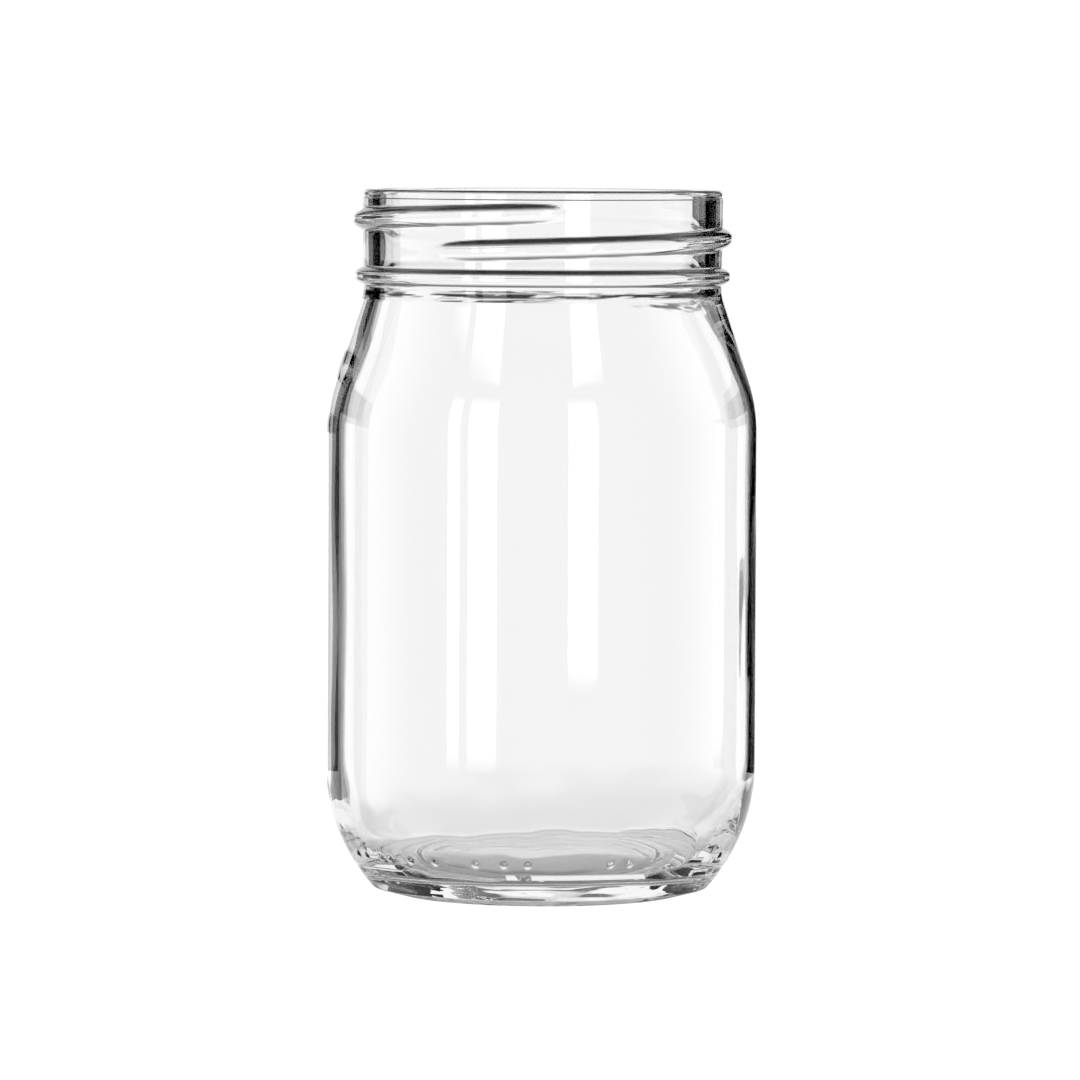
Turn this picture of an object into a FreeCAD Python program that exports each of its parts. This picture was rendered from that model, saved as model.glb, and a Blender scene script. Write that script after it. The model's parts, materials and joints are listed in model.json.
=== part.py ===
import FreeCAD, Part
import math
import os

# A one-piece glass mason jar: threaded finish, transfer bead, sloped shoulder, round body, pushed-up base.
# Millimetres. The origin is the centre of the base on the plane that the jar stands on; +Z runs up the jar.
# The jar is a single blown moulding, so it is one solid in one node. Its section is drawn in the XZ plane
# and turned about Z; then the thread and the row of code dots on the heel are fused to it.

NODE = "glass_jar"

# Overall size
HEIGHT = 130.0
BODY_RADIUS = 39.7

# Rim: a flat sealing land between two rounded corners
LIP_RADIUS = 33.1
LIP_CORNER = 0.9
LIP_HEIGHT = 1.45
PARTING_STEP = 0.2

# Neck: tapers down from the lip to the shoulder, and carries the thread and the transfer bead
NECK_TOP_RADIUS = 33.3
NECK_LOW_RADIUS = 33.0
NECK_BASE_RADIUS = 33.3
NECK_BASE_Z = 109.8
BEAD_Z = 114.05
BEAD_RADIUS = 34.7
BEAD_HALF_HEIGHT = 1.9

# Thread: right-handed, one start, four turns to the inch, with ends that sink into the neck
THREAD_RADIUS = 35.0
THREAD_PITCH = 25.4 / 4
THREAD_RIB = 1.65
THREAD_TIP_RADIUS = 32.7
THREAD_TIP_RIB = 0.9
THREAD_START_DEG = -130.0
THREAD_END_DEG = 278.0
THREAD_FADE_DEG = 26.0
THREAD_STEP_DEG = 6.0
THREAD_Z_AT_X_AXIS = 121.15

# Shoulder and body of the outside
SHOULDER_ARC = 30.0
BODY_TOP_Z = 85.5
BODY_FOOT_Z = 24.2

# Heel and base of the outside: a large arc, a tight corner, a bevel and a flat bearing ring
HEEL_ARC = 34.2
HEEL_TURN_DEG = 41.5
HEEL_CORNER = 0.9
BEVEL_DEG = 14.5
RING_INNER = 23.6

# Push-up: the recess inside the bearing ring
RECESS_LIP = 1.6
RECESS_SLOPE_DEG = 42.0
RECESS_ROUND = 3.0
RECESS_CROWN_DEG = 7.0

# Inside
MOUTH_RADIUS = 30.0
MOUTH_CORNER = 1.2
BORE_FOOT_Z = 110.5
WALL = 1.9
INNER_BODY_FOOT_Z = 23.0
INNER_HEEL_ARC = 24.0
INNER_HEEL_TURN_DEG = 45.0
FLOOR_CORNER = 3.0
FLOOR_CROWN_DEG = 3.0

# Code dots: small domes on the heel, at angles round from the front (-Y) towards +X
DOT_RADIUS = 0.75
DOT_HEIGHT = 0.35
DOT_HEEL_DEG = -27.5
DOT_ANGLES_DEG = (-68, -62, -54, -50, -41, -32, -19, -10.5, -3.5, 21, 27, 67)


def at(radius, z):
    """Place a point of the section at a radius and a height."""
    return FreeCAD.Vector(radius, 0, z)


def on_circle(centre, radius, degrees):
    """Find the point at an angle on a circle of the section."""
    angle = math.radians(degrees)
    return at(centre.x + radius * math.cos(angle), centre.z + radius * math.sin(angle))


def arc(centre, radius, start_deg, end_deg):
    """Draw an arc of the section between two angles."""
    middle_deg = (start_deg + end_deg) / 2
    points = [on_circle(centre, radius, angle) for angle in (start_deg, middle_deg, end_deg)]
    return Part.Arc(*points).toShape()


def line(start, end):
    """Draw a straight edge between two points."""
    return Part.LineSegment(start, end).toShape()


def last(edges):
    """Find the point where an outline has got to."""
    return edges[-1].valueAt(edges[-1].LastParameter)


def touch_angle(start, centre, radius):
    """Find the angle at which a line that comes down from a point touches a circle's outer side."""
    away = start.sub(centre)
    bearing = math.degrees(math.atan2(away.z, away.x))
    return bearing - math.degrees(math.acos(radius / away.Length))


def rim_and_neck():
    """Draw the outside from the sealing land down to the break above the shoulder."""
    lip_centre = at(LIP_RADIUS - LIP_CORNER, HEIGHT - LIP_CORNER)
    edges = [arc(lip_centre, LIP_CORNER, 90, 0)]
    lip_foot = at(LIP_RADIUS, HEIGHT - LIP_HEIGHT)
    edges.append(line(last(edges), lip_foot))
    edges.append(line(lip_foot, at(NECK_TOP_RADIUS, HEIGHT - LIP_HEIGHT - PARTING_STEP)))
    rise = BEAD_RADIUS - NECK_LOW_RADIUS
    bead_arc = (BEAD_HALF_HEIGHT**2 + rise**2) / (2 * rise)
    bead_centre = at(BEAD_RADIUS - bead_arc, BEAD_Z)
    spread = math.degrees(math.acos((bead_arc - rise) / bead_arc))
    edges.append(line(last(edges), on_circle(bead_centre, bead_arc, spread)))
    edges.append(arc(bead_centre, bead_arc, spread, -spread))
    edges.append(line(last(edges), at(NECK_BASE_RADIUS, NECK_BASE_Z)))
    return edges


def shoulder_and_body():
    """Draw the outside of the shoulder cone, the round that ends it and the straight body."""
    top = at(NECK_BASE_RADIUS, NECK_BASE_Z)
    centre = at(BODY_RADIUS - SHOULDER_ARC, BODY_TOP_Z)
    touch = touch_angle(top, centre, SHOULDER_ARC)
    edges = [line(top, on_circle(centre, SHOULDER_ARC, touch))]
    edges.append(arc(centre, SHOULDER_ARC, touch, 0))
    edges.append(line(last(edges), at(BODY_RADIUS, BODY_FOOT_Z)))
    return edges


def heel_and_base():
    """Draw the heel, the bevel under it, the bearing ring and the recess up to the axis."""
    heel_centre = at(BODY_RADIUS - HEEL_ARC, BODY_FOOT_Z)
    edges = [arc(heel_centre, HEEL_ARC, 0, -HEEL_TURN_DEG)]
    corner_centre = on_circle(heel_centre, HEEL_ARC - HEEL_CORNER, -HEEL_TURN_DEG)
    edges.append(arc(corner_centre, HEEL_CORNER, -HEEL_TURN_DEG, BEVEL_DEG - 90))
    bevel_top = last(edges)
    bevel_width = bevel_top.z / math.tan(math.radians(BEVEL_DEG))
    edges.append(line(bevel_top, at(bevel_top.x - bevel_width, 0)))
    edges.append(line(last(edges), at(RING_INNER, 0)))
    lip_centre = at(RING_INNER, RECESS_LIP)
    edges.append(arc(lip_centre, RECESS_LIP, -90, -90 - RECESS_SLOPE_DEG))
    round_centre = on_circle(lip_centre, RECESS_LIP + RECESS_ROUND, -90 - RECESS_SLOPE_DEG)
    edges.append(arc(round_centre, RECESS_ROUND, 90 - RECESS_SLOPE_DEG, 90 - RECESS_CROWN_DEG))
    crown_edge = last(edges)
    crown_arc = crown_edge.x / math.sin(math.radians(RECESS_CROWN_DEG))
    crown_centre = at(0, crown_edge.z - crown_arc * math.cos(math.radians(RECESS_CROWN_DEG)))
    edges.append(arc(crown_centre, crown_arc, 90 - RECESS_CROWN_DEG, 90))
    return edges


def inside():
    """Draw the inside from the middle of the floor up to the sealing land."""
    heel_centre = at(BODY_RADIUS - WALL - INNER_HEEL_ARC, INNER_BODY_FOOT_Z)
    corner_centre = on_circle(heel_centre, INNER_HEEL_ARC - FLOOR_CORNER, -INNER_HEEL_TURN_DEG)
    floor_edge = on_circle(corner_centre, FLOOR_CORNER, -90 - FLOOR_CROWN_DEG)
    floor_arc = floor_edge.x / math.sin(math.radians(FLOOR_CROWN_DEG))
    floor_centre = at(0, floor_edge.z - floor_arc * math.cos(math.radians(FLOOR_CROWN_DEG)))
    edges = [arc(floor_centre, floor_arc, 90, 90 - FLOOR_CROWN_DEG)]
    edges.append(arc(corner_centre, FLOOR_CORNER, -90 - FLOOR_CROWN_DEG, -INNER_HEEL_TURN_DEG))
    edges.append(arc(heel_centre, INNER_HEEL_ARC, -INNER_HEEL_TURN_DEG, 0))
    edges.append(line(last(edges), at(BODY_RADIUS - WALL, BODY_TOP_Z)))
    shoulder_centre = at(BODY_RADIUS - SHOULDER_ARC, BODY_TOP_Z)
    bore_foot = at(MOUTH_RADIUS, BORE_FOOT_Z)
    touch = touch_angle(bore_foot, shoulder_centre, SHOULDER_ARC - WALL)
    edges.append(arc(shoulder_centre, SHOULDER_ARC - WALL, 0, touch))
    edges.append(line(last(edges), bore_foot))
    edges.append(line(bore_foot, at(MOUTH_RADIUS, HEIGHT - MOUTH_CORNER)))
    mouth_centre = at(MOUTH_RADIUS + MOUTH_CORNER, HEIGHT - MOUTH_CORNER)
    edges.append(arc(mouth_centre, MOUTH_CORNER, 180, 90))
    return edges


def body_of_jar():
    """Turn the whole section about Z into the hollow jar, without its thread and dots."""
    outside = rim_and_neck() + shoulder_and_body() + heel_and_base()
    within = inside()
    crown = last(outside)
    floor = within[0].valueAt(within[0].FirstParameter)
    land = line(last(within), outside[0].valueAt(outside[0].FirstParameter))
    wire = Part.Wire(outside + [line(crown, floor)] + within + [land])
    return Part.Face(wire).revolve(FreeCAD.Vector(0, 0, 0), FreeCAD.Vector(0, 0, 1), 360)


def thread_ring(degrees):
    """Draw the round section of the thread's rib at an angle, smaller and sunk towards either end."""
    into = min(degrees - THREAD_START_DEG, THREAD_END_DEG - degrees) / THREAD_FADE_DEG
    share = math.sin(min(into, 1) * math.pi / 2)
    crest = THREAD_TIP_RADIUS + (THREAD_RADIUS - THREAD_TIP_RADIUS) * share
    rib = THREAD_TIP_RIB + (THREAD_RIB - THREAD_TIP_RIB) * share
    angle = math.radians(degrees)
    outward = FreeCAD.Vector(math.cos(angle), math.sin(angle), 0)
    along = FreeCAD.Vector(-math.sin(angle), math.cos(angle), 0)
    z = THREAD_Z_AT_X_AXIS + THREAD_PITCH * degrees / 360
    middle = outward * (crest - rib) + FreeCAD.Vector(0, 0, z)
    circle = Part.Circle(middle, along, rib)
    circle.XAxis = FreeCAD.Vector(0, 0, 1)
    return Part.Wire(circle.toShape())


def thread():
    """Loft the thread's rib through its sections."""
    steps = round((THREAD_END_DEG - THREAD_START_DEG) / THREAD_STEP_DEG)
    rings = [thread_ring(THREAD_START_DEG + THREAD_STEP_DEG * step) for step in range(steps + 1)]
    return Part.makeLoft(rings, True, False)


def code_dots():
    """Make the code dots: balls sunk in the heel so that only a low dome of each stands proud."""
    ball = (DOT_RADIUS**2 + DOT_HEIGHT**2) / (2 * DOT_HEIGHT)
    heel_centre = at(BODY_RADIUS - HEEL_ARC, BODY_FOOT_Z)
    place = on_circle(heel_centre, HEEL_ARC + DOT_HEIGHT - ball, DOT_HEEL_DEG)
    dots = []
    for degrees in DOT_ANGLES_DEG:
        dot = Part.makeSphere(ball, place)
        dot.rotate(FreeCAD.Vector(0, 0, 0), FreeCAD.Vector(0, 0, 1), degrees - 90)
        dots.append(dot)
    return dots


os.makedirs("parts", exist_ok=True)
jar = body_of_jar().fuse([thread()] + code_dots())
jar.exportStep(f"parts/{NODE}.step")
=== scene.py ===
"""A clear glass mason jar on a white sweep, lit as a bright-field product shot. Metres, +Z up."""

import json
import logging
import math
from dataclasses import dataclass, field
from enum import Enum
from typing import Any, Callable, Iterable, Union

import bmesh
import bpy
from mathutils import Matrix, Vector, noise


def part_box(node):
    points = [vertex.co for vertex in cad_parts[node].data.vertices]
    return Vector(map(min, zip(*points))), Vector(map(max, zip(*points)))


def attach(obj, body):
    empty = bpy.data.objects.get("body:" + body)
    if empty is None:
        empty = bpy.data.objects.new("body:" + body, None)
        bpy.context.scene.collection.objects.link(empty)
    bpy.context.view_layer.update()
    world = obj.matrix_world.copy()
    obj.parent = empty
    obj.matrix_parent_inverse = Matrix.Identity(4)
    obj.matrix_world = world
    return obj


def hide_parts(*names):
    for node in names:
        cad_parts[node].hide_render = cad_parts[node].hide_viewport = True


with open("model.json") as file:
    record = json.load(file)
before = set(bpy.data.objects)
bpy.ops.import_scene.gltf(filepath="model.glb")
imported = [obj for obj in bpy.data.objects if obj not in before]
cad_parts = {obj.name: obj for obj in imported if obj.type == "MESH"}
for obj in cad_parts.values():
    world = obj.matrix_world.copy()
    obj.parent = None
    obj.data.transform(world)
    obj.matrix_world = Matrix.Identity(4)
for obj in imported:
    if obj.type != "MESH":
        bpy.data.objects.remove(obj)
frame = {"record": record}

LOG = logging.getLogger("mason_jar")
MM = 0.001
JAR_NODE = "glass_jar"
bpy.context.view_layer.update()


# ---------------------------------------------------------------- shader helpers

Number = Union[int, float]


class Value:
    """A shader socket's number, on which Python's operators add Math nodes."""

    def __init__(self, shader: "Shader", socket: bpy.types.NodeSocket) -> None:
        """Wrap an output socket of a shader."""
        self.shader = shader
        self.socket = socket

    def _math(self, operation: str, first: Any, second: Any) -> "Value":
        """Add a Math node with two operands."""
        return self.shader.add("ShaderNodeMath", {"operation": operation}, {0: first, 1: second})

    def __add__(self, other: Any) -> "Value":
        """Add."""
        return self._math("ADD", self, other)

    __radd__ = __add__

    def __sub__(self, other: Any) -> "Value":
        """Subtract."""
        return self._math("SUBTRACT", self, other)

    def __rsub__(self, other: Any) -> "Value":
        """Subtract from a number."""
        return self._math("SUBTRACT", other, self)

    def __mul__(self, other: Any) -> "Value":
        """Multiply."""
        return self._math("MULTIPLY", self, other)

    __rmul__ = __mul__

    def __truediv__(self, other: Any) -> "Value":
        """Divide."""
        return self._math("DIVIDE", self, other)

    def __abs__(self) -> "Value":
        """Take the size without the sign."""
        return self._math("ABSOLUTE", self, 0.0)


class Shader:
    """A node tree that is written as expressions."""

    def __init__(self, tree: bpy.types.NodeTree) -> None:
        """Start from an empty tree.

        Args:
            tree: The tree of a material or a world.
        """
        self.tree = tree
        tree.nodes.clear()

    def node(self, kind: str, settings: dict[str, Any], inputs: dict[Any, Any]) -> bpy.types.Node:
        """Add a node.

        Args:
            kind: The node's type.
            settings: Its properties, which are set first.
            inputs: Values or links of its sockets, by name or number.

        Returns:
            The new node.
        """
        made = self.tree.nodes.new(kind)
        for name, setting in settings.items():
            setattr(made, name, setting)
        for key, value in inputs.items():
            if isinstance(value, Value):
                self.tree.links.new(value.socket, made.inputs[key])
            elif isinstance(value, bpy.types.NodeSocket):
                self.tree.links.new(value, made.inputs[key])
            else:
                made.inputs[key].default_value = value
        return made

    def add(self, kind: str, settings: dict[str, Any], inputs: dict[Any, Any], output: Any = 0) -> Value:
        """Add a node and wrap one of its outputs."""
        return Value(self, self.node(kind, settings, inputs).outputs[output])

    def smooth_step(self, value: Value, low: Number, high: Number) -> Value:
        """Rise smoothly from 0 at low to 1 at high."""
        settings = {"interpolation_type": "SMOOTHSTEP"}
        return self.add("ShaderNodeMapRange", settings, {"Value": value, "From Min": low, "From Max": high})


# ---------------------------------------------------------------- mesh helpers


class Bench:
    """Edit-mode steps that every piece shares."""

    @staticmethod
    def clear_selection() -> None:
        """Leave edit mode and deselect every object."""
        if bpy.context.object is not None and bpy.context.object.mode != "OBJECT":
            bpy.ops.object.mode_set(mode="OBJECT")
        bpy.ops.object.select_all(action="DESELECT")

    @staticmethod
    def start_plane(name: str, size: float, place: Vector) -> bpy.types.Object:
        """Add a square to work from.

        Args:
            name: The object's name.
            size: The length of the square's side.
            place: Where the square's middle goes.

        Returns:
            The new object.
        """
        Bench.clear_selection()
        bpy.ops.mesh.primitive_plane_add(size=size, location=place)
        made = bpy.context.object
        made.name = name
        made.data.name = name
        bpy.ops.object.transform_apply(location=True, rotation=True, scale=True)
        return made

    @staticmethod
    def pick_faces(mesh: bpy.types.Mesh, wanted: Callable[[bmesh.types.BMFace], bool]) -> int:
        """Select the faces of a mesh in edit mode by a test.

        Args:
            mesh: The mesh being edited.
            wanted: Says whether a face is selected.

        Returns:
            How many faces were selected.
        """
        edit = bmesh.from_edit_mesh(mesh)
        chosen = [face for face in edit.faces if wanted(face)]
        for face in edit.faces:
            face.select_set(False)
        for face in chosen:
            face.select_set(True)
        bmesh.update_edit_mesh(mesh)
        return len(chosen)


@dataclass(frozen=True)
class Corner:
    """A corner of a turned section, rounded by a fillet, and the spacing of the run that leads to it."""

    radius: float
    z: float
    fillet: float = 0.0
    spacing: float = 3.0 * MM


class Outline:
    """A turned section: straight runs between corners that are rounded by tangent arcs."""

    arc_step: float = math.radians(6.0)
    arc_spacing: float = 1.5 * MM

    def __init__(self, corners: Iterable[Corner]) -> None:
        """Keep the corners, in order, the first and last of which are ends."""
        self.corners = list(corners)

    def _arc(self, index: int) -> list[Vector]:
        """Round one corner.

        Args:
            index: The corner's place in the list.

        Returns:
            The points of its arc, or the corner itself where it isn't rounded.
        """
        here = self.corners[index]
        corner = Vector((here.radius, here.z))
        if here.fillet == 0.0 or index in (0, len(self.corners) - 1):
            return [corner]
        before, after = self.corners[index - 1], self.corners[index + 1]
        back = (Vector((before.radius, before.z)) - corner).normalized()
        ahead = (Vector((after.radius, after.z)) - corner).normalized()
        turn = math.pi - back.angle(ahead)
        reach = here.fillet * math.tan(turn / 2)
        centre = corner + (back + ahead).normalized() * math.hypot(reach, here.fillet)
        start = corner + back * reach - centre
        count = max(2, math.ceil(turn / self.arc_step), math.ceil(here.fillet * turn / self.arc_spacing))
        side = 1.0 if start.x * (-back).y - start.y * (-back).x > 0 else -1.0
        points = []
        for step in range(count + 1):
            angle = side * turn * step / count
            cosine, sine = math.cos(angle), math.sin(angle)
            across = start.x * cosine - start.y * sine
            up = start.x * sine + start.y * cosine
            points.append(centre + Vector((across, up)))
        return points

    def points(self) -> list[Vector]:
        """Lay out the whole section.

        Returns:
            Points of radius and height, evenly spaced along each straight run.
        """
        laid = self._arc(0)
        for index in range(1, len(self.corners)):
            arc = self._arc(index)
            run = arc[0] - laid[-1]
            pieces = max(1, math.ceil(run.length / self.corners[index].spacing))
            start = laid[-1].copy()
            laid += [start + run * (step / pieces) for step in range(1, pieces)]
            laid += arc
        return laid


# ---------------------------------------------------------------- the jar


@dataclass(frozen=True)
class Ridge:
    """The cross-section of a raised rib on the neck."""

    height: float
    half_width: float
    fullness: float = 2.6
    root_blend: float = 0.12 * MM
    reach: float = 1.6

    def rise(self, offset: float, share: float = 1.0) -> float:
        """Find how far the rib stands out.

        Args:
            offset: The distance from the rib's middle, along the jar.
            share: How much of the full rib there is here, from 0 to 1.

        Returns:
            The rise above the neck, which never falls below 0.
        """
        blend = self.root_blend
        across = min(abs(offset) / self.half_width, self.reach)
        raw = self.height * (share - across**self.fullness)
        if raw > blend:
            return raw
        if raw < -blend:
            return 0.0
        return (raw + blend) ** 2 / (4 * blend)

    def mixed(self, other: "Ridge", offset: float, soft: float, share: float = 1.0) -> float:
        """Find the rise of a rib that is part way between this one and another.

        Args:
            other: The softer rib.
            offset: The distance from the rib's middle, along the jar.
            soft: How much of the other rib there is, from 0 to 1.
            share: How much of the full rib there is here, from 0 to 1.

        Returns:
            The rise above the neck.
        """
        return (1.0 - soft) * self.rise(offset, share) + soft * other.rise(offset, share)


@dataclass(frozen=True)
class Finish:
    """The rim, the neck, the thread and the transfer bead."""

    mouth_corner: float = 1.2 * MM
    lip_radius: float = 33.1 * MM
    lip_corner: float = 0.9 * MM
    parting_z: float = 128.45 * MM
    parting_step: float = 0.18 * MM
    neck_top: float = 33.3 * MM
    neck_low: float = 33.0 * MM
    neck_base: float = 33.3 * MM
    neck_base_z: float = 109.8 * MM
    neck_spacing: float = 0.25 * MM
    bead_z: float = 114.05 * MM
    bead: Ridge = Ridge(1.55 * MM, 1.58 * MM, 3.2)
    soft_bead: Ridge = Ridge(1.2 * MM, 3.0 * MM, 1.8, 0.6 * MM)
    thread: Ridge = Ridge(1.75 * MM, 1.9 * MM)
    soft_thread: Ridge = Ridge(1.2 * MM, 3.1 * MM, 1.8, 0.6 * MM)
    pitch: float = 25.4 / 4 * MM
    thread_z: float = 121.15 * MM
    thread_start: float = math.radians(-124.5)
    thread_end: float = math.radians(276.0)
    thread_fade: float = math.radians(20.0)
    soft_from: float = 0.06
    soft_over: float = 0.34

    def corners(self, height: float) -> list[Corner]:
        """Lay out the outside of the rim and neck, downwards.

        Args:
            height: The height of the sealing land.

        Returns:
            The corners from the lip to the break above the shoulder.
        """
        step_foot = self.parting_z - self.parting_step
        return [
            Corner(self.lip_radius, height, self.lip_corner, 0.3 * MM),
            Corner(self.lip_radius, self.parting_z, 0.08 * MM, 0.2 * MM),
            Corner(self.neck_top, step_foot, 0.08 * MM, 0.1 * MM),
            Corner(self.neck_low, self.bead_z - 2.6 * MM, 3.0 * MM, self.neck_spacing),
            Corner(self.neck_base, self.neck_base_z, 1.2 * MM, self.neck_spacing),
        ]

    def rise(self, angle: float, z: float) -> float:
        """Find how far the thread and the bead stand out of the neck at a place.

        Both are lower and gentler round the back.

        Args:
            angle: The direction from the axis, from +X towards +Y.
            z: The height.

        Returns:
            The rise above the plain neck.
        """
        behind = min(max((math.sin(angle) - self.soft_from) / self.soft_over, 0.0), 1.0)
        soft = behind * behind * (3.0 - 2.0 * behind)
        out = self.bead.mixed(self.soft_bead, z - self.bead_z, soft)
        for turn in (-1, 0, 1):
            along = angle + turn * math.tau
            if not self.thread_start < along < self.thread_end:
                continue
            into = min(along - self.thread_start, self.thread_end - along) / self.thread_fade
            share = math.sqrt(1.0 - (1.0 - min(into, 1.0)) ** 2)
            middle = self.thread_z + self.pitch * along / math.tau
            out = max(out, self.thread.mixed(self.soft_thread, z - middle, soft, share))
        return out


@dataclass(frozen=True)
class Base:
    """The heel, the bearing ring and the pushed-up recess."""

    heel_arc: float = 34.2 * MM
    heel_turn: float = math.radians(41.5)
    heel_foot_radius: float = 30.93 * MM
    heel_foot_z: float = 1.33 * MM
    heel_corner: float = 0.9 * MM
    ring_outer: float = 25.78 * MM
    ring_inner: float = 22.99 * MM
    recess_edge: float = 21.83 * MM
    recess_edge_z: float = 1.04 * MM
    crown_radius: float = 10.4 * MM
    crown_z: float = 2.45 * MM

    def corners(self, body_radius: float) -> list[Corner]:
        """Lay out the heel and the base, from the body to the axis.

        Args:
            body_radius: The radius of the straight body.

        Returns:
            The corners down the heel and in to the middle of the recess.
        """
        fall = (body_radius - self.heel_foot_radius) / math.tan(self.heel_turn)
        return [
            Corner(body_radius, self.heel_foot_z + fall, self.heel_arc, 1.2 * MM),
            Corner(self.heel_foot_radius, self.heel_foot_z, self.heel_corner, 0.8 * MM),
            Corner(self.ring_outer, 0.0, 2.0 * MM, 1.5 * MM),
            Corner(self.ring_inner, 0.0, 1.6 * MM, 1.0 * MM),
            Corner(self.recess_edge, self.recess_edge_z, 3.0 * MM, 0.5 * MM),
            Corner(self.crown_radius, self.crown_z, 170.0 * MM, 2.0 * MM),
            Corner(0.0, self.crown_z, 0.0, 2.0 * MM),
        ]


@dataclass(frozen=True)
class Inside:
    """The inside of the jar, from the mouth down to the floor."""

    wall: float = 1.9 * MM
    bore_foot_z: float = 110.5 * MM
    heel_arc: float = 24.0 * MM
    heel_z: float = 13.06 * MM
    floor_edge: float = 29.83 * MM
    floor_edge_z: float = 5.09 * MM
    floor_corner: float = 3.0 * MM
    crown_radius: float = 14.0 * MM
    crown_z: float = 5.9 * MM

    def corners(self, bore: float, body_radius: float, shoulder: Corner) -> list[Corner]:
        """Lay out the inside, downwards.

        Args:
            bore: The mouth's radius.
            body_radius: The outer radius of the straight body.
            shoulder: The outside's corner between the shoulder's cone and the body.

        Returns:
            The corners from the foot of the bore to the middle of the floor.
        """
        inner = body_radius - self.wall
        return [
            Corner(bore, self.bore_foot_z, 7.0 * MM, 2.0 * MM),
            Corner(inner, shoulder.z - self.wall * 0.2, shoulder.fillet - self.wall, 1.2 * MM),
            Corner(inner, self.heel_z, self.heel_arc, 2.0 * MM),
            Corner(self.floor_edge, self.floor_edge_z, self.floor_corner, 0.8 * MM),
            Corner(self.crown_radius, self.crown_z, 530.0 * MM, 1.0 * MM),
            Corner(0.0, self.crown_z, 0.0, 1.2 * MM),
        ]


@dataclass(frozen=True)
class CodeDots:
    """The row of small domes on the front of the heel."""

    radius: float = 0.8 * MM
    height: float = 0.34 * MM
    heel_angle: float = math.radians(-27.5)
    from_front: tuple[float, ...] = (-68, -62, -54, -50, -41, -32, -19, -10.5, -3.5, 21, 27, 67)
    refined: float = 1.6
    cuts: int = 4

    def places(self, centre: Vector, arc: float) -> list[Vector]:
        """Find the middle of each dot on the heel.

        Args:
            centre: The radius and height of the heel arc's centre.
            arc: The heel arc's radius.

        Returns:
            The dots' places.
        """
        out = centre.x + arc * math.cos(self.heel_angle)
        z = centre.y + arc * math.sin(self.heel_angle)
        turned = [math.radians(angle - 90.0) for angle in self.from_front]
        return [Vector((out * math.cos(angle), out * math.sin(angle), z)) for angle in turned]

    def rise(self, distance: float) -> float:
        """Find the dome's height at a distance from its middle."""
        across = distance / self.radius
        if across >= 1.0:
            return 0.0
        return self.height * (1.0 - across**2) ** 1.5


@dataclass(frozen=True)
class Crease:
    """A faint upright fold on the inside of the wall."""

    angle: float
    low: float
    high: float
    half_width: float
    depth: float

    def depth_at(self, angle: float, radius: float, z: float) -> float:
        """Find the fold's depth at a place.

        Args:
            angle: The direction from the axis, from +X towards +Y.
            radius: The distance from the axis.
            z: The height.

        Returns:
            The depth into the glass.
        """
        along = (z - self.low) / (self.high - self.low)
        if not 0.0 < along < 1.0:
            return 0.0
        across = (angle - self.angle) * radius / self.half_width
        return self.depth * math.sin(math.pi * along) * math.exp(-(across**2))


@dataclass(frozen=True)
class WallFlow:
    """The slow unevenness that blowing leaves on the inside of the wall and on the floor."""

    depth: float = 0.10 * MM
    grain: float = 26.0 * MM
    lean: float = 0.6 * MM
    floor_grain: float = 9.0 * MM
    floor_depth: float = 0.16 * MM
    fine_grain: float = 3.2 * MM
    fine_depth: float = 0.035 * MM
    creases: tuple[Crease, ...] = (
        Crease(math.radians(-24.0), 37.0 * MM, 66.0 * MM, 1.5 * MM, 0.12 * MM),
        Crease(math.radians(-18.0), 40.0 * MM, 56.0 * MM, 1.2 * MM, 0.09 * MM),
    )
    fade: float = 8.0 * MM
    floor_reach: float = 12.0 * MM
    floor_fade: float = 6.0 * MM
    seed: Vector = field(default_factory=lambda: Vector((3.1, 7.7, 1.9)))

    def shift(self, place: Vector) -> float:
        """Find how far a point of the inner wall moves into the glass, or out of it if below 0."""
        angle = math.atan2(place.y, place.x)
        flow = self.depth * noise.noise(place / self.grain + self.seed)
        folds = sum(crease.depth_at(angle, math.hypot(place.x, place.y), place.z) for crease in self.creases)
        return flow + folds + self.lean * math.cos(angle)

    def swell(self, place: Vector) -> float:
        """Find how far a point of the jar's floor or inner heel stands up from its plain shape."""
        slow = self.floor_depth * noise.noise(place / self.floor_grain + self.seed)
        return slow + self.fine_depth * noise.noise(place / self.fine_grain + self.seed)


@dataclass(frozen=True)
class PaintedShadePatch:
    """A mottled patch of painted shade on the base. Its angles are in degrees from +X."""

    angle: float
    half_angle: float
    z: float
    half_z: float
    strength: float
    grain: float
    raggedness: float = 0.7
    edge_gain: float = 2.5

    def darkness(self, place: Vector) -> float:
        """Find how much painted shade the patch puts at a place, from 0 to 1.

        Args:
            place: The place.

        Returns:
            The darkness.
        """
        across = (math.degrees(math.atan2(place.y, place.x)) - self.angle) / self.half_angle
        along = (place.z - self.z) / self.half_z
        edge = 1.0 - math.hypot(across, along) + self.raggedness * noise.noise(place / self.grain)
        return self.strength * min(max(edge * self.edge_gain, 0.0), 1.0)


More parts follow.
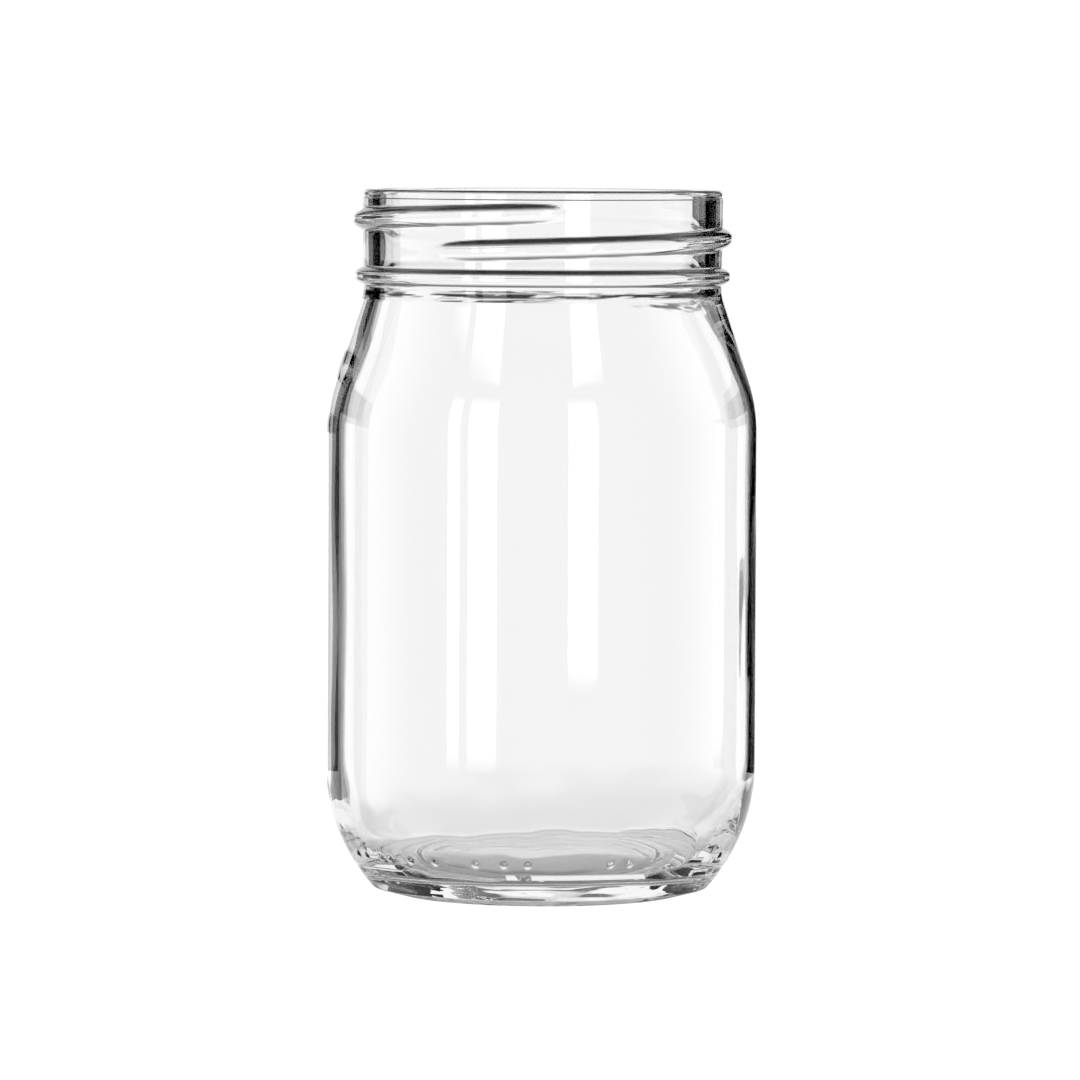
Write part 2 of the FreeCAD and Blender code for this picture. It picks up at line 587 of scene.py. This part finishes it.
@dataclass(frozen=True)
class PaintedShadeMarks:
    """Painted shade on the outside: steep flanks on the neck, dashes under it, and marks on the foot.

    It stands in for what clear glass shows by refraction. On the flanks it is weaker round the back.
    """

    attribute: str = "dark"
    rising: tuple[float, float] = (0.30, 0.96)
    falling: tuple[float, float] = (0.70, 1.0)
    land: float = 0.985
    # A band of broken dashes of painted shade round the foot of the neck.
    shade_dash_z: float = 111.0 * MM
    shade_dash_half: float = 0.55 * MM
    shade_dash_length: float = 5.0 * MM
    shade_dash_height: float = 0.35 * MM
    shade_dash_gap: float = 20.0 * MM
    shade_dash_edge: float = 0.15
    dash_seed: float = 4.2
    gap_seed: tuple[float, float] = (7.7, 1.3)
    back_loss: float = 0.75
    back_full: float = 0.5
    stipple_to: float = 26.2 * MM
    stipple_from: float = 21.4 * MM
    stipple_top: float = 1.5 * MM
    stipple_grain: float = 1.6 * MM
    stipple: float = 0.35
    stipple_base: float = 0.6
    stipple_swing: float = 0.8
    recess_out: float = 0.8 * MM
    recess_in: float = 1.5 * MM
    # A patch of painted shade along the front of the recess's edge.
    arc: PaintedShadePatch = PaintedShadePatch(-101.0, 47.0, 1.1 * MM, 0.9 * MM, 0.6, 4.0 * MM)

    @staticmethod
    def ramp(value: float, low: float, high: float) -> float:
        """Rise smoothly from 0 at low to 1 at high."""
        share = min(max((value - low) / (high - low), 0.0), 1.0)
        return share * share * (3.0 - 2.0 * share)

    def on_neck(self, place: Vector, up: float) -> float:
        """Find the painted shade on the outside of the neck.

        Args:
            place: The place.
            up: The upward part of the surface's normal.

        Returns:
            The darkness, from 0 to 1.
        """
        # Painted shade on the steep upper and lower flanks of the thread and bead, weaker round the back.
        upper = self.ramp(up, *self.rising) if up < self.land else 0.0
        flank = max(upper, self.ramp(-up, *self.falling))
        angle = math.atan2(place.y, place.x)
        flank *= 1.0 - self.back_loss * self.ramp(math.sin(angle), 0.0, self.back_full)
        # Broken dashes of painted shade in a band round the foot of the neck.
        across = (place.z - self.shade_dash_z) / self.shade_dash_half
        if abs(across) >= 1.0:
            return flank
        along = angle * math.hypot(place.x, place.y)
        grid = Vector((along / self.shade_dash_length, place.z / self.shade_dash_height, self.dash_seed))
        dash = noise.noise(grid)
        gap = noise.noise(Vector((along / self.shade_dash_gap, *self.gap_seed)))
        return max(flank, (1.0 - across**2) * self.ramp(dash + gap, -self.shade_dash_edge, self.shade_dash_edge))

    def on_foot(self, place: Vector) -> float:
        """Find the painted shade on the stippled ring that the jar stands on, and on the recess's edge.

        Args:
            place: The place.

        Returns:
            The darkness, from 0 to 1.
        """
        out = math.hypot(place.x, place.y)
        if not self.stipple_from - self.recess_in < out < self.stipple_to or place.z > self.stipple_top:
            return 0.0
        if out < self.stipple_from + self.recess_out:
            return self.arc.darkness(place)
        # The bearing ring's stipple is drawn as speckles of painted shade, not as relief.
        speckle = noise.noise(place / self.stipple_grain)
        return self.stipple * (self.stipple_base + self.stipple_swing * speckle)


@dataclass(frozen=True)
class ClearGlass:
    """Clear flint glass, with the faint ripple and haze of a blown surface, darkened where painted shade is
    stored.
    """

    name: str = "clear flint glass"
    colour: tuple[float, float, float, float] = (0.98, 0.98, 0.98, 1.0)
    ior: float = 1.52
    haze: float = 0.004
    # The colour the glass is darkened to where painted shade is stored.
    dark: tuple[float, float, float, float] = (0.0015, 0.0015, 0.0015, 1.0)
    ripple_scale: float = 60.0
    ripple_depth: float = 0.00002

    def material(self) -> bpy.types.Material:
        """Make the material.

        Returns:
            A node material that reads the piece's own coordinates and its stored painted shade.
        """
        made = bpy.data.materials.new(self.name)
        made.use_nodes = True
        shader = Shader(made.node_tree)
        place = shader.node("ShaderNodeTexCoord", {}, {}).outputs["Object"]
        grain = {"Vector": place, "Scale": self.ripple_scale, "Detail": 1.0}
        ripple = shader.add("ShaderNodeTexNoise", {}, grain)
        bump = shader.add(
            "ShaderNodeBump", {}, {"Height": ripple, "Strength": 1.0, "Distance": self.ripple_depth}, "Normal"
        )
        # Painted shade: the stored darkness mixes the glass's colour towards the dark one.
        mark = shader.node("ShaderNodeAttribute", {"attribute_name": PaintedShadeMarks.attribute}, {}).outputs["Fac"]
        clear = 1.0 - Value(shader, mark)
        share = clear * clear * clear * clear
        colours = {0: share, 6: self.dark, 7: self.colour}
        tone = shader.node("ShaderNodeMix", {"data_type": "RGBA"}, colours).outputs[2]
        surface = shader.node(
            "ShaderNodeBsdfPrincipled",
            {},
            {
                "Base Color": tone,
                "Roughness": ripple * self.haze,
                "IOR": self.ior,
                "Transmission Weight": 1.0,
                "Normal": bump,
            },
        )
        shader.node("ShaderNodeOutputMaterial", {}, {"Surface": surface.outputs["BSDF"]})
        return made


class Jar:
    """The glass jar: one turned section with a thread, a bead and code dots raised on it."""

    def __init__(self) -> None:
        """Read the overall sizes from the frame."""
        low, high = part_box(JAR_NODE)
        mounts = {mount["name"]: mount for mount in frame["record"]["mounts"]}
        self.height: float = high[2]
        self.body_radius: float = high[0]
        self.bore: float = mounts["mouth"]["dims"]["r_mm"] * MM
        self.finish = Finish()
        self.base = Base()
        self.inside = Inside()
        self.dots = CodeDots()
        self.flow = WallFlow()
        self.marks = PaintedShadeMarks()
        self.glass = ClearGlass()
        self.shoulder = Corner(self.body_radius, 90.29 * MM, 30.0 * MM, 1.2 * MM)
        self.segments = 224

    def outline(self) -> Outline:
        """Lay out the closed section, from the middle of the recess round to the middle of the floor."""
        outside = self.finish.corners(self.height) + [self.shoulder] + self.base.corners(self.body_radius)
        mouth = Corner(self.bore, self.height, self.finish.mouth_corner, 0.4 * MM)
        within = self.inside.corners(self.bore, self.body_radius, self.shoulder)
        downwards = list(reversed(within)) + [mouth] + outside
        return Outline(downwards)

    def turn(self) -> bpy.types.Object:
        """Draw the section point by point and spin it about the axis.

        Returns:
            The plain jar, closed and with its faces outwards.
        """
        points = self.outline().points()
        start = Vector((points[0].x, 0.0, points[0].y))
        jar = Bench.start_plane("mason_jar", 1.0 * MM, start)
        bpy.ops.object.mode_set(mode="EDIT")
        bpy.ops.mesh.select_all(action="SELECT")
        bpy.ops.mesh.merge(type="CENTER")
        for here, there in zip(points, points[1:]):
            step = (there.x - here.x, 0.0, there.y - here.y)
            bpy.ops.mesh.extrude_region_move(TRANSFORM_OT_translate={"value": step})
        bpy.ops.mesh.select_all(action="SELECT")
        bpy.ops.mesh.spin(steps=self.segments, angle=math.tau, center=(0, 0, 0), axis=(0, 0, 1))
        bpy.ops.mesh.select_all(action="SELECT")
        bpy.ops.mesh.remove_doubles(threshold=0.002 * MM)
        bpy.ops.mesh.normals_make_consistent(inside=False)
        bpy.ops.object.mode_set(mode="OBJECT")
        LOG.info("section of %d points turned into %d faces", len(points), len(jar.data.polygons))
        return jar

    def raise_finish(self, jar: bpy.types.Object) -> None:
        """Push the neck's points out into the thread and the bead.

        Args:
            jar: The plain jar.
        """
        top = self.finish.parting_z - self.finish.parting_step
        for vertex in jar.data.vertices:
            place = vertex.co
            out = math.hypot(place.x, place.y)
            if out < self.bore + 2.0 * MM or not self.finish.neck_base_z < place.z < top:
                continue
            rise = self.finish.rise(math.atan2(place.y, place.x), place.z)
            place.xy *= (out + rise) / out

    def raise_dots(self, jar: bpy.types.Object) -> None:
        """Refine the heel round each code dot and dome it up.

        Args:
            jar: The jar, whose heel is still plain.
        """
        arc = self.base.heel_arc
        heel = self.base.corners(self.body_radius)[0]
        centre = Vector((self.body_radius - arc, heel.z + arc * math.tan(self.base.heel_turn / 2)))
        places = self.dots.places(centre, arc)
        reach = self.dots.radius * self.dots.refined

        def near(point: Vector) -> float:
            """Measure the distance to the nearest dot."""
            return min((point - place).length for place in places)

        bpy.context.view_layer.objects.active = jar
        bpy.ops.object.mode_set(mode="EDIT")
        bpy.ops.mesh.select_mode(type="FACE")
        count = Bench.pick_faces(jar.data, lambda face: near(face.calc_center_median()) < reach)
        bpy.ops.mesh.subdivide(number_cuts=self.dots.cuts)
        bpy.ops.object.mode_set(mode="OBJECT")
        LOG.info("%d heel faces refined for %d code dots", count, len(places))
        for vertex in jar.data.vertices:
            distance = near(vertex.co)
            if distance > reach * 1.5:
                continue
            place = vertex.co
            out = math.hypot(place.x, place.y)
            spoke = (Vector((out, place.z)) - centre).normalized()
            moved = centre + spoke * (arc + self.dots.rise(distance))
            place.xy *= moved.x / out
            place.z = moved.y

    def ripple_inside(self, jar: bpy.types.Object) -> None:
        """Give the floor, the inner heel and the inner wall their slow unevenness.

        Args:
            jar: The jar.
        """
        low, high = self.inside.heel_z, self.inside.bore_foot_z
        floor_top = low + self.flow.floor_reach
        facing = [vertex.normal.copy() for vertex in jar.data.vertices]
        for vertex, normal in zip(jar.data.vertices, facing):
            place = vertex.co
            out = math.hypot(place.x, place.y)
            inward = normal.x * place.x + normal.y * place.y
            facing_in = normal.z > -0.1 and (inward < -0.3 * out or normal.z > 0.3)
            if place.z < floor_top and facing_in:
                fade = min(1.0, (floor_top - place.z) / self.flow.floor_fade)
                vertex.co = place + normal * (fade * self.flow.swell(place))
                place = vertex.co
            if inward >= -0.3 * out or not low < place.z < high:
                continue
            fade = min((place.z - low) / self.flow.fade, (high - place.z) / self.flow.fade, 1.0)
            place.xy *= (out + fade * self.flow.shift(place)) / out

    def mark_dark(self, jar: bpy.types.Object) -> None:
        """Store the painted shade at each point of the outside.

        Args:
            jar: The finished shape.
        """
        values = []
        for vertex in jar.data.vertices:
            place, normal = vertex.co, vertex.normal
            out = math.hypot(place.x, place.y)
            facing_out = normal.z < 0.1 and normal.x * place.x + normal.y * place.y > -0.3 * out
            if place.z > self.finish.neck_base_z and out > self.bore + self.finish.mouth_corner:
                values.append(self.marks.on_neck(place, normal.z))
            elif facing_out:
                values.append(self.marks.on_foot(place))
            else:
                values.append(0.0)
        layer = jar.data.attributes.new(self.marks.attribute, "FLOAT", "POINT")
        layer.data.foreach_set("value", values)

    def build(self) -> bpy.types.Object:
        """Build the jar, dress it and put it on its body.

        Returns:
            The finished piece.
        """
        jar = self.turn()
        self.raise_finish(jar)
        self.raise_dots(jar)
        self.ripple_inside(jar)
        jar.data.update()
        self.mark_dark(jar)
        Bench.clear_selection()
        jar.select_set(True)
        bpy.context.view_layer.objects.active = jar
        bpy.ops.object.shade_smooth()
        jar.data.materials.append(self.glass.material())
        jar.visible_shadow = False
        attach(jar, "root")
        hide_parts(JAR_NODE)
        return jar


# ---------------------------------------------------------------- the studio


class Glow(Enum):
    """How a panel's light is seen."""

    STRIP = "in the outer surface's reflections"
    FLAG = "by all but the camera"


@dataclass(frozen=True)
class Panel:
    """An upright panel, facing the jar's axis."""

    name: str
    azimuth_from: float
    azimuth_to: float
    low: float
    high: float
    strength: float
    distance: float = 0.3
    kind: Glow = Glow.STRIP
    fade_low: float = 0.0
    fade_high: float = 0.0

    def corner(self, azimuth: float, z: float) -> Vector:
        """Find a corner of the panel.

        Args:
            azimuth: Degrees from the camera's side (-Y) towards +X.
            z: The height.

        Returns:
            The corner, on the chord that stands at the panel's distance.
        """
        middle = math.radians((self.azimuth_from + self.azimuth_to) / 2)
        angle = math.radians(azimuth)
        out = self.distance / math.cos(angle - middle)
        return Vector((out * math.sin(angle), -out * math.cos(angle), z))

    def build(self) -> bpy.types.Object:
        """Make the panel."""
        panel = Bench.start_plane(self.name, 1.0, Vector((0, 0, 0)))
        ends = (self.azimuth_from, self.azimuth_to)
        for vertex in panel.data.vertices:
            azimuth = ends[0] if vertex.co.x < 0 else ends[1]
            height = self.low if vertex.co.y < 0 else self.high
            vertex.co = self.corner(azimuth, height)
        Lamp(self.name, self.strength).dress(panel, self.light)
        panel.visible_transmission = self.kind is Glow.FLAG
        return panel

    def light(self, shader: Shader, place: bpy.types.NodeSocket) -> Any:
        """Fade the light towards the panel's foot and top."""
        height = shader.add("ShaderNodeSeparateXYZ", {}, {"Vector": place}, "Z")
        light: Any = 1.0
        if self.fade_low > 0.0:
            light = shader.smooth_step(height, self.low, self.low + self.fade_low) * light
        if self.fade_high > 0.0:
            light = shader.smooth_step(height, self.high, self.high - self.fade_high) * light
        return light


@dataclass(frozen=True)
class Lamp:
    """A glowing surface of the studio."""

    name: str
    strength: float

    def dress(self, made: bpy.types.Object, light: Callable[[Shader, bpy.types.NodeSocket], Any]) -> None:
        """Give a surface its glow and hide it from the camera.

        Args:
            made: The surface.
            light: Writes the share of the strength at a place, from a shader and its coordinates.
        """
        material = bpy.data.materials.new(self.name)
        material.use_nodes = True
        shader = Shader(material.node_tree)
        place = shader.node("ShaderNodeTexCoord", {}, {}).outputs["Object"]
        share = light(shader, place)
        colour = share if isinstance(share, Value) else (share, share, share, 1.0)
        glow = shader.node("ShaderNodeEmission", {}, {"Color": colour, "Strength": self.strength})
        shader.node("ShaderNodeOutputMaterial", {}, {"Surface": glow.outputs["Emission"]})
        material.cycles.emission_sampling = "NONE"
        made.data.materials.append(material)
        made.visible_camera = False
        made.visible_diffuse = False
        made.visible_shadow = False


@dataclass(frozen=True)
class Surround:
    """The fixed dome of soft light: white behind and at the sides, greyer in front, and dark overhead."""

    radius: float = 4.0
    front: float = 0.35
    front_to: float = 70.0
    sides_from: float = 116.0
    ceiling_from: float = 44.0
    ceiling_to: float = 56.0
    ceiling: float = 0.05

    def build(self) -> bpy.types.Object:
        """Make the dome."""
        Bench.clear_selection()
        bpy.ops.mesh.primitive_uv_sphere_add(segments=48, ring_count=24, radius=self.radius)
        dome = bpy.context.object
        dome.name = "surround"
        Lamp("surround", 1.0).dress(dome, self.light)
        return dome

    def light(self, shader: Shader, place: bpy.types.NodeSocket) -> Value:
        """Write the dome's light, by direction from the jar."""
        spread = shader.node("ShaderNodeSeparateXYZ", {}, {"Vector": place}).outputs
        level = self.level(shader, spread)
        sine = Value(shader, spread["Z"]) / self.radius
        lift = shader.add("ShaderNodeMath", {"operation": "ARCSINE"}, {0: sine})
        ceiling = shader.smooth_step(lift, math.radians(self.ceiling_from), math.radians(self.ceiling_to))
        return level + ceiling * (self.ceiling - level)

    def level(self, shader: Shader, spread: bpy.types.bpy_prop_collection) -> Value:
        """Write the light of the lower surroundings, from dark in front to white behind.

        Args:
            shader: The shader to write in.
            spread: The outputs that give the place's X and Y.

        Returns:
            The light at the place.
        """
        ahead = Value(shader, spread["Y"]) * -1.0
        azimuth = abs(shader.add("ShaderNodeMath", {"operation": "ARCTAN2"}, {0: spread["X"], 1: ahead}))
        sides = shader.smooth_step(azimuth, math.radians(self.front_to), math.radians(self.sides_from))
        return self.front + sides * (Studio.white - self.front)


@dataclass(frozen=True)
class Studio:
    """The white floor, the surroundings, the light panels and the camera."""

    white: float = 1.05
    floor_size: float = 60.0
    shade: float = 0.86
    under: float = 0.60
    under_edge: tuple[float, float] = (0.036, 0.046)
    shade_inner: tuple[float, float] = (0.040, 0.060)
    shade_outer: tuple[float, float] = (0.085, 0.330)
    lens: float = 254.0
    distance: float = 1.405
    camera_z: float = 0.1439
    tilt: float = math.radians(-3.203)
    pan: float = math.radians(0.026)
    roll: float = math.radians(-0.27)
    light_bounces: int = 24

    def panels(self) -> list[Panel]:
        """List the light strips, and the dark flags that stand on either side behind the jar."""
        return [
            Panel("wide_strip", -37.0, -22.05, 0.0, 0.234, 5.0, fade_low=0.012, fade_high=0.077),
            Panel("narrow_strip", -47.8, -41.35, 0.0, 0.234, 5.0, fade_low=0.012, fade_high=0.077),
            Panel("centre_strip", 13.2, 28.2, 0.018, 0.234, 5.0, fade_low=0.012, fade_high=0.077),
            Panel("rim_strip", 99.4, 108.5, 0.0, 0.11, 5.0, fade_low=0.02, fade_high=0.03),
            Panel("high_wide_strip", -42.8, -24.2, 0.255, 0.40, 5.0, fade_low=0.03, fade_high=0.02),
            Panel("high_narrow_strip", -57.6, -47.0, 0.255, 0.40, 5.0, fade_low=0.03, fade_high=0.02),
            Panel("high_centre_strip", 17.6, 35.0, 0.255, 0.40, 5.0, fade_low=0.03, fade_high=0.02),
            Panel("left_flag", -153.0, -130.5, 0.0, 0.34, 0.0, 0.24, Glow.FLAG),
            Panel("right_flag", 137.0, 159.3, 0.0, 0.34, 0.0, 0.24, Glow.FLAG),
            Panel("left_neck_flag", -130.5, -105.0, 0.100, 0.142, 0.0, 0.24, Glow.FLAG),
            Panel("right_neck_flag", 112.0, 137.0, 0.100, 0.142, 0.0, 0.24, Glow.FLAG),
        ]

    def build_world(self) -> None:
        """Make the backdrop that the camera sees: plain white."""
        world = bpy.data.worlds.new("studio")
        bpy.context.scene.world = world
        world.use_nodes = True
        shader = Shader(world.node_tree)
        colour = (self.white, self.white, self.white, 1.0)
        glow = shader.node("ShaderNodeBackground", {}, {"Strength": 1.0, "Color": colour})
        shader.node("ShaderNodeOutputWorld", {}, {"Surface": glow.outputs["Background"]})

    def floor_light(self, shader: Shader, place: bpy.types.NodeSocket) -> Value:
        """Write the floor's light: white to the camera, and shaded round the jar's foot to the glass."""
        radius = shader.add("ShaderNodeVectorMath", {"operation": "LENGTH"}, {0: place}, "Value")
        inner = shader.smooth_step(radius, *self.shade_inner)
        ring = inner * shader.smooth_step(radius, *reversed(self.shade_outer))
        spread = shader.node("ShaderNodeSeparateXYZ", {}, {"Vector": place}).outputs
        seen = shader.add("ShaderNodeLightPath", {}, {}, "Is Camera Ray")
        under = shader.smooth_step(radius, *reversed(self.under_edge))
        kept = (1.0 - ring * (1.0 - self.shade)) * (1.0 - under * (1.0 - self.under))
        level = Surround().level(shader, spread) * kept
        return level + seen * (self.white - level)

    def build_floor(self) -> bpy.types.Object:
        """Make the floor, a glowing surface: plain white to the camera, with painted shade round the jar's
        foot that the glass sees.
        """
        floor = Bench.start_plane("floor", self.floor_size, Vector((0, 0, 0)))
        Lamp("white floor", 1.0).dress(floor, self.floor_light)
        floor.visible_camera = True
        return floor

    def build_camera(self) -> bpy.types.Object:
        """Make the camera.

        Returns:
            The camera, which is the scene's own.
        """
        data = bpy.data.cameras.new("camera")
        data.lens = self.lens
        data.sensor_width = 36.0
        data.clip_end = 100.0
        camera = bpy.data.objects.new("camera", data)
        bpy.context.scene.collection.objects.link(camera)
        camera.location = (0.0, -self.distance, self.camera_z)
        camera.rotation_euler = (math.pi / 2 + self.tilt, self.roll, self.pan)
        bpy.context.scene.camera = camera
        return camera

    def build(self) -> None:
        """Make everything round the jar."""
        bpy.context.scene.view_settings.view_transform = "Standard"
        for kind in ("max_bounces", "glossy_bounces", "transmission_bounces"):
            setattr(bpy.context.scene.cycles, kind, self.light_bounces)
        self.build_camera()
        self.build_world()
        for made in [self.build_floor(), Surround().build()] + [panel.build() for panel in self.panels()]:
            LOG.info("light: %s", made.name)


def main() -> None:
    """Build the jar and the studio."""
    logging.basicConfig(level=logging.INFO, format="%(name)s: %(message)s")
    jar = Jar().build()
    LOG.info("%s has %d faces", jar.name, len(jar.data.polygons))
    Studio().build()


if __name__ == "__main__":
    main()
